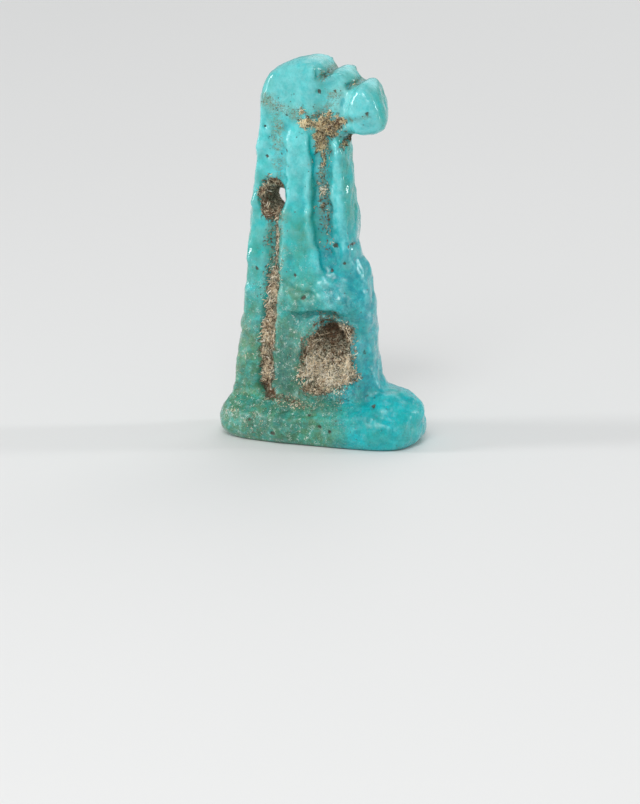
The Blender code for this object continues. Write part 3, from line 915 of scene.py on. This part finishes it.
class Nodes:
    """Adds and links the nodes of one tree, in rows from left to right."""

    def __init__(self, tree):
        self.tree = tree
        self.count = 0
        place = self.add("ShaderNodeTexCoord").outputs["Object"]
        scaled = self.add("ShaderNodeVectorMath", {0: place}, operation="SCALE")
        self.fill(scaled, {"Scale": 1.0 / MILLIMETRE})
        self.place = scaled.outputs["Vector"]

    def add(self, kind, values=None, **settings):
        """A new node with these settings, and with these values or links in its sockets."""
        made = self.tree.nodes.new(kind)
        made.location = (200.0 * (self.count % 8), -260.0 * (self.count // 8))
        self.count += 1
        for name, value in settings.items():
            setattr(made, name, value)
        self.fill(made, values or {})
        return made

    def fill(self, node, values):
        """Links each named socket to an output, or sets its constant; colours are opaque."""
        for name, value in values.items():
            socket = node.inputs[name]
            if isinstance(value, bpy.types.NodeSocket):
                self.tree.links.new(value, socket)
            else:
                socket.default_value = (*value, 1.0) if socket.type == "RGBA" else value

    def math(self, operation, first, second=0.0, **settings):
        values = {0: first, 1: second}
        return self.add("ShaderNodeMath", values, operation=operation, **settings).outputs[0]

    def times(self, first, second):
        return self.math("MULTIPLY", first, second)

    def plus(self, first, second):
        return self.math("ADD", first, second)

    def larger(self, first, second):
        return self.math("MAXIMUM", first, second)

    def ramp(self, value, low, high, to_low=0.0, to_high=1.0):
        """From to_low where the value is low to to_high where it is high, with soft ends."""
        limits = {"From Min": low, "From Max": high, "To Min": to_low, "To Max": to_high}
        made = self.add("ShaderNodeMapRange", limits, interpolation_type="SMOOTHSTEP")
        self.fill(made, {"Value": value})
        return made.outputs["Result"]

    def blend(self, factor, first, second, kind="MIX"):
        """The first colour, turning into its mix with the second as the factor rises."""
        values = {0: factor, 6: first, 7: second}
        return self.add("ShaderNodeMix", values, data_type="RGBA", blend_type=kind).outputs[2]

    def shaded(self, factor, colour, shade):
        """The colour multiplied by the shade, in this share."""
        return self.blend(factor, colour, self.blend(1.0, colour, shade, "MULTIPLY"))

    def texture(self, scale, detail=2.0, roughness=0.5, distortion=0.0):
        """Noise over the piece; the scale is in waves to the millimetre."""
        values = {"Vector": self.place, "Scale": scale, "Detail": detail}
        values.update({"Roughness": roughness, "Distortion": distortion})
        return self.add("ShaderNodeTexNoise", values).outputs["Fac"]

    def curls(self, scale, distortion):
        """How far each place is from the curling lines where a noise has its middle value."""
        off = self.math("SUBTRACT", self.texture(scale, 1.0, 0.5, distortion), 0.5)
        return self.math("ABSOLUTE", off)

    def dots(self, scale):
        """The distance to the nearest of scattered places, and that place's own number."""
        values = {"Vector": self.place, "Scale": scale, "Randomness": 1.0}
        made = self.add("ShaderNodeTexVoronoi", values)
        parts = self.add("ShaderNodeSeparateColor", {"Color": made.outputs["Color"]})
        return made.outputs["Distance"], parts.outputs[0]

    def mark(self, name):
        """The number stored under this name with each point of the piece."""
        return self.add("ShaderNodeAttribute", attribute_name=name).outputs["Fac"]


def new_material(name):
    """A material, the helper for its nodes, and its shader."""
    made = bpy.data.materials.new(name)
    made.use_nodes = True
    return made, Nodes(made.node_tree), made.node_tree.nodes["Principled BSDF"]


def glaze_material(colours):
    """Worn turquoise glaze over a sandy body, with specks, pits and burial dirt, and with painted
    glints and painted shade.
    """
    made, nodes, shader = new_material("worn_turquoise_glaze")
    texture, mark, ramp, curls = nodes.texture, nodes.mark, nodes.ramp, nodes.curls
    blend, times, plus, larger = nodes.blend, nodes.times, nodes.plus, nodes.larger
    mottle = texture(0.45, 4.0, 0.6, 0.4)
    cloud = texture(1.5, 4.0, 0.6, 0.5)
    fine = texture(3.2, 3.0, 0.6)
    grit = texture(7.5, 3.0, 0.7)
    sandy = mark("sandy")
    specks = mark("specks")

    # The glaze itself, with painted shade and painted glints.
    colour = blend(ramp(mottle, 0.35, 0.65), colours.turquoise, GREENER_TURQUOISE)
    for name, cause, limits, tint in (
        ("pale", cloud, (0.3, 0.65, 0.55, 1.15), colours.pale),
        ("milky", cloud, (0.3, 0.65, 0.6, 1.1), MILKY_GLAZE),
        ("blue", cloud, (0.35, 0.62, 1.15, 0.45), colours.blue),
        ("green", cloud, (0.35, 0.65, 0.65, 1.05), colours.green),
        # The deep tint is mostly painted shade.
        ("deep", fine, (0.35, 0.65, 1.0, 0.5), colours.deep),
    ):
        share = times(mark(name), ramp(cause, *limits))
        colour = blend(share, colour, tint)
    patchy = ramp(texture(1.0, 4.0, 0.65, 0.8), 0.3, 0.7, 0.74, 1.2)
    colour = nodes.shaded(ramp(sandy, 0.0, 1.0, 0.3, 0.9), colour, patchy)
    shade = ramp(grit, 0.3, 0.7, 0.62, 1.32)
    colour = nodes.shaded(ramp(sandy, 0.0, 1.0, 0.15, 0.75), colour, shade)
    # Painted glints: white curls on the sandy lower body stand for glints of light on its grain.
    islands = ramp(texture(1.9, 3.0, 0.7), 0.52, 0.63)
    painted_glint = ramp(curls(3.6, 1.6), 0.012, 0.04, 0.95, 0.0)
    painted_glint = times(painted_glint, times(mark("painted_glint"), islands))
    colour = blend(painted_glint, colour, GLINT_WHITE)

    # Dark dots and pits.
    off, number = nodes.dots(1.15)
    dot = ramp(off, 0.05, 0.11, 1.0, 0.0)
    dot = times(dot, ramp(number, 0.62, 0.7, 0.0, 0.7))
    off, number = nodes.dots(2.3)
    number = plus(number, ramp(sandy, 0.0, 0.7, -0.15, 0.0))
    small = ramp(off, 0.11, 0.2, 0.85, 0.0)
    small = times(small, ramp(specks, 0.02, 0.25))
    dot = larger(dot, times(small, ramp(number, 0.48, 0.52)))
    pit = ramp(mark("pits"), 0.15, 0.6, 0.0, 0.92)
    dot = larger(dot, pit)
    colour = blend(dot, colour, DARK_DOT)

    # Stains and flecks of dirt that cling to the glaze.
    flecks = texture(8.0, 3.0, 0.7, 0.3)
    threshold = ramp(specks, 0.0, 1.0, 0.69, 0.49)
    fleck = ramp(nodes.math("SUBTRACT", flecks, threshold), 0.0, 0.04, 0.0, 0.9)
    fleck = times(fleck, ramp(specks, 0.02, 0.15))
    tint = texture(5.0, 1.0)
    light = times(ramp(tint, 0.54, 0.6), ramp(sandy, 0.0, 0.5, 0.25, 1.0))
    fleck_colour = blend(light, BROWN_FLECK, colours.sand)
    fleck_colour = blend(ramp(tint, 0.46, 0.4), fleck_colour, OLIVE_FLECK)
    stain = ramp(texture(1.7, 4.0, 0.65), 0.42, 0.62, 0.0, 0.5)
    colour = blend(times(specks, stain), colour, GREEN_STAIN)
    share = times(fleck, ramp(sandy, 0.0, 0.6, 0.7, 1.0))
    colour = blend(share, colour, fleck_colour)

    # The burial dirt in the hollows, with painted light low in the recess and painted shade at its
    # top.
    crust = texture(6.5, 3.0, 0.7, 0.4)
    lumps = texture(1.6, 3.0, 0.6, 0.4)
    dirt = plus(mark("dirt"), ramp(crust, 0.3, 0.7, -0.45, 0.45))
    dirt = ramp(dirt, 0.42, 0.58)
    # Dark earth, which at the top of the recess is painted shade.
    earth_and_shade_share = plus(mark("earth_and_shade"), ramp(lumps, 0.3, 0.7, -0.25, 0.3))
    earth_and_shade_share = ramp(earth_and_shade_share, 0.25, 0.85, 0.0, 0.95)
    first = ramp(curls(2.6, 1.6), 0.02, 0.07, 1.0, 0.0)
    second = ramp(curls(3.9, 1.3), 0.015, 0.055, 1.0, 0.0)
    strand = larger(first, second)
    # Paler soil and sand-coloured threads where the dirt low in the recess is painted as lit.
    pale_soil_and_light = mark("pale_soil_and_light")
    between = blend(pale_soil_and_light, GREY_SOIL, BROWN_SOIL)
    thread = blend(pale_soil_and_light, GREY_THREAD, colours.sand)
    soil = blend(strand, between, thread)
    dark = blend(times(strand, 0.6), colours.earth_and_shade, BROWN_THREAD)
    soil = blend(earth_and_shade_share, soil, dark)
    # Near-black painted shade in the upper front corner of the recess.
    soil = blend(mark("recess_shade"), soil, RECESS_SHADE_COLOUR)
    colour = blend(dirt, colour, soil)

    # Gloss and fine relief.
    gloss = ramp(fine, 0.3, 0.75, 0.22, 0.4)
    rough = larger(gloss, times(dirt, 0.95))
    rough = larger(rough, times(fleck, 0.8))
    height = times(grit, ramp(sandy, 0.0, 1.0, 0.12, 2.0))
    for part, strength in (
        (fine, ramp(sandy, 0.0, 1.0, 0.25, 0.9)),
        (dot, -1.2),
        (plus(times(strand, 2.5), crust), dirt),
    ):
        height = plus(height, times(part, strength))
    relief = {"Height": height, "Distance": BUMP_HEIGHT, "Strength": 1.0}
    normal = nodes.add("ShaderNodeBump", relief).outputs["Normal"]
    dull = larger(dirt, times(mark("dull"), 0.85))
    nodes.fill(shader, {
        "Base Color": colour,
        "Roughness": rough,
        "Normal": normal,
        "IOR": 1.5,
        "Specular IOR Level": 0.2,
        "Subsurface Weight": 0.12,
        "Subsurface Radius": (0.3, 0.9, 1.0),
        "Subsurface Scale": 0.6 * MILLIMETRE,
        "Coat Weight": nodes.math("SUBTRACT", 1.0, dull, use_clamp=True),
        "Coat Roughness": 0.05,
        "Coat Normal": normal,
    })
    return made


def strand_material(colours):
    """Dull sandy fibres, from brown to cream by their tone."""
    made, nodes, shader = new_material("dirt_fibre")
    tone = nodes.mark("tone")
    up = nodes.add("ShaderNodeSeparateXYZ", {0: nodes.place}).outputs[2]
    ochre = nodes.blend(nodes.ramp(up, 25.0, 28.0), (1.0, 1.0, 1.0), OCHRE_TINT)
    warm = nodes.ramp(nodes.texture(0.9, 3.0, 0.6), 0.42, 0.58)
    brown = nodes.blend(warm, OLIVE_FIBRE, BROWN_FIBRE)
    dull = nodes.blend(warm, GREY_FIBRE, TAN_FIBRE)
    colour = nodes.blend(nodes.ramp(tone, 0.0, 0.45), brown, dull)
    colour = nodes.blend(nodes.ramp(tone, 0.35, 0.85), colour, colours.sand)
    colour = nodes.blend(nodes.ramp(tone, 0.85, 1.0), colour, CREAM_FIBRE)
    colour = nodes.blend(1.0, colour, ochre, "MULTIPLY")
    nodes.fill(shader, {"Base Color": colour, "Roughness": 0.75})
    return made


def floor_material(colour):
    """Plain pale floor with the faintest mottling."""
    made, nodes, shader = new_material("pale_floor")
    mottle = nodes.texture(0.01)
    tone = nodes.blend(mottle, colour, [part * 0.985 for part in colour])
    nodes.fill(shader, {"Base Color": tone, "Roughness": 0.8})
    return made


# Operators.


class AMULET_OT_figure(bpy.types.Operator):
    """Builds the glazed figure with its burial dirt"""

    bl_idname = "amulet.figure"
    bl_label = "Glazed figure"

    def execute(self, context):
        mesh = build_figure(context.scene.amulet_figure)
        if not mesh.polygons:
            raise RuntimeError("the figure has no faces")
        mesh.name = "faience_figure"
        figure = new_object("faience_figure", mesh)
        mesh.materials.clear()
        mesh.materials.append(glaze_material(context.scene.amulet_glaze))
        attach(figure, "root")
        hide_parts(NODE)
        return {"FINISHED"}


class AMULET_OT_strands(bpy.types.Operator):
    """Strews curled strands over the burial dirt of the figure"""

    bl_idname = "amulet.strands"
    bl_label = "Dirt strands"

    def execute(self, context):
        figure = bpy.data.objects.get("faience_figure")
        if figure is None:
            raise RuntimeError("the figure has to be built before its dirt")
        mesh = strand_mesh(figure.data, context.scene.amulet_figure)
        strands = new_object("dirt_strands", mesh)
        mesh.materials.append(strand_material(context.scene.amulet_glaze))
        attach(strands, "root")
        return {"FINISHED"}


class AMULET_OT_stage(bpy.types.Operator):
    """Makes the floor, the lights and the camera"""

    bl_idname = "amulet.stage"
    bl_label = "Stage"

    def execute(self, context):
        settings = context.scene.amulet_stage
        make_floor(settings)
        make_lights()
        make_camera(settings)
        context.scene.view_settings.view_transform = "Standard"
        return {"FINISHED"}


def make_floor(settings):
    """A round floor: one face whose corners are radius times (cos a, sin a), under the figure."""
    turn = np.arange(FLOOR_CORNERS) * (2 * np.pi / FLOOR_CORNERS)
    ring = settings.floor_radius * np.stack([np.cos(turn), np.sin(turn), 0 * turn], axis=1)
    mesh = bpy.data.meshes.new("floor")
    mesh.from_pydata(ring.tolist(), [], [list(range(FLOOR_CORNERS))])
    floor = new_object("floor", mesh)
    mesh.materials.append(floor_material(settings.floor_colour))


def aim_from(thing, azimuth, elevation, distance, target):
    """Puts a light or camera at this bearing and distance from its target, facing it."""
    level = math.cos(elevation)
    away = Vector((math.sin(azimuth) * level, -math.cos(azimuth) * level, math.sin(elevation)))
    thing.location = target + away * distance
    thing.rotation_euler = away.to_track_quat("Z", "Y").to_euler()


def make_lights():
    """Upright soft lights round the figure, and an even pale sky."""
    for name, azimuth, elevation, distance, width, height, power in LIGHTS:
        data = bpy.data.lights.new(name, "AREA")
        data.shape = "RECTANGLE"
        data.size, data.size_y = width, height
        data.energy = power
        bearing = math.radians(azimuth), math.radians(elevation)
        aim_from(new_object(name, data), *bearing, distance, Vector(LIGHT_TARGET))
    world = bpy.data.worlds.new("studio")
    bpy.context.scene.world = world
    world.use_nodes = True
    sky = world.node_tree.nodes["Background"]
    sky.inputs["Color"].default_value = SKY_COLOUR
    sky.inputs["Strength"].default_value = SKY_STRENGTH


def make_camera(settings):
    """The camera looks at a point low in the figure, from its right and a little in front."""
    data = bpy.data.cameras.new("camera")
    data.lens = settings.lens
    data.sensor_width = SENSOR_WIDTH
    data.clip_start, data.clip_end = CLIP_RANGE
    camera = new_object("camera", data)
    right = Vector((math.cos(settings.azimuth), math.sin(settings.azimuth), 0.0))
    target = Vector((0.0, 0.0, CAMERA_TARGET_HEIGHT)) - right * CAMERA_TARGET_LEFT
    aim_from(camera, settings.azimuth, settings.elevation, settings.distance, target)
    bpy.context.scene.camera = camera


class AMULET_PT_sidebar(bpy.types.Panel):
    """Buttons and values for the amulet"""

    bl_label = "Faience amulet"
    bl_idname = "AMULET_PT_sidebar"
    bl_space_type = "VIEW_3D"
    bl_region_type = "UI"
    bl_category = "Amulet"

    def draw(self, context):
        scene = context.scene
        for group, operator in (
            (scene.amulet_figure, AMULET_OT_figure),
            (scene.amulet_glaze, AMULET_OT_strands),
            (scene.amulet_stage, AMULET_OT_stage),
        ):
            column = self.layout.box().column()
            for name in group.__annotations__:
                column.prop(group, name)
            column.operator(operator.bl_idname)


CLASSES = (
    FigureSettings,
    GlazeSettings,
    StageSettings,
    AMULET_OT_figure,
    AMULET_OT_strands,
    AMULET_OT_stage,
    AMULET_PT_sidebar,
)


def register():
    for made in CLASSES:
        bpy.utils.register_class(made)
    bpy.types.Scene.amulet_figure = PointerProperty(type=FigureSettings)
    bpy.types.Scene.amulet_glaze = PointerProperty(type=GlazeSettings)
    bpy.types.Scene.amulet_stage = PointerProperty(type=StageSettings)


def unregister():
    del bpy.types.Scene.amulet_stage
    del bpy.types.Scene.amulet_glaze
    del bpy.types.Scene.amulet_figure
    for made in reversed(CLASSES):
        bpy.utils.unregister_class(made)


def main():
    register()
    bpy.ops.amulet.figure()
    bpy.ops.amulet.strands()
    bpy.ops.amulet.stage()


if __name__ == "__main__":
    main()
